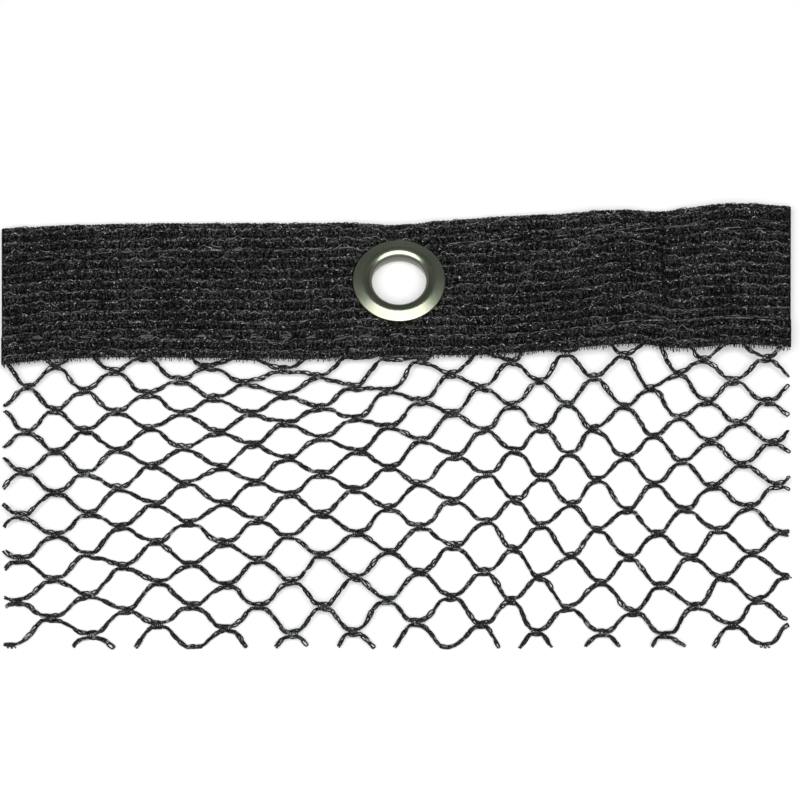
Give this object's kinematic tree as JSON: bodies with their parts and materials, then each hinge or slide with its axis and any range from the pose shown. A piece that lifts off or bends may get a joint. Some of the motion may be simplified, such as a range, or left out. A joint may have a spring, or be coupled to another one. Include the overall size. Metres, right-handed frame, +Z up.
{
  "type": "pond cover net",
  "caption": "Cut length of knotless diamond-mesh pond cover netting with a folded, ribbed knit heading band and one clinched metal eyelet, lying flat.",
  "frame": {"origin": "floor level, under the middle of the piece's footprint", "axes": "+X along the heading band, +Y from the netting's cut edge to the band's fold, +Z up, out of the face with the eyelet's domed flange"},
  "size_m": [0.1818, 0.1092, 0.0046],
  "materials": {
    "netting": "black knitted polyethylene yarn, slightly glossy",
    "band": "black ribbed warp knit, matt with small glints",
    "metal": "nickel plate, softly polished"
  },
  "bodies": {
    "root": {"netting": "netting", "heading_band": "band", "eyelet": "metal", "washer": "metal"}
  },
  "joints": []
}
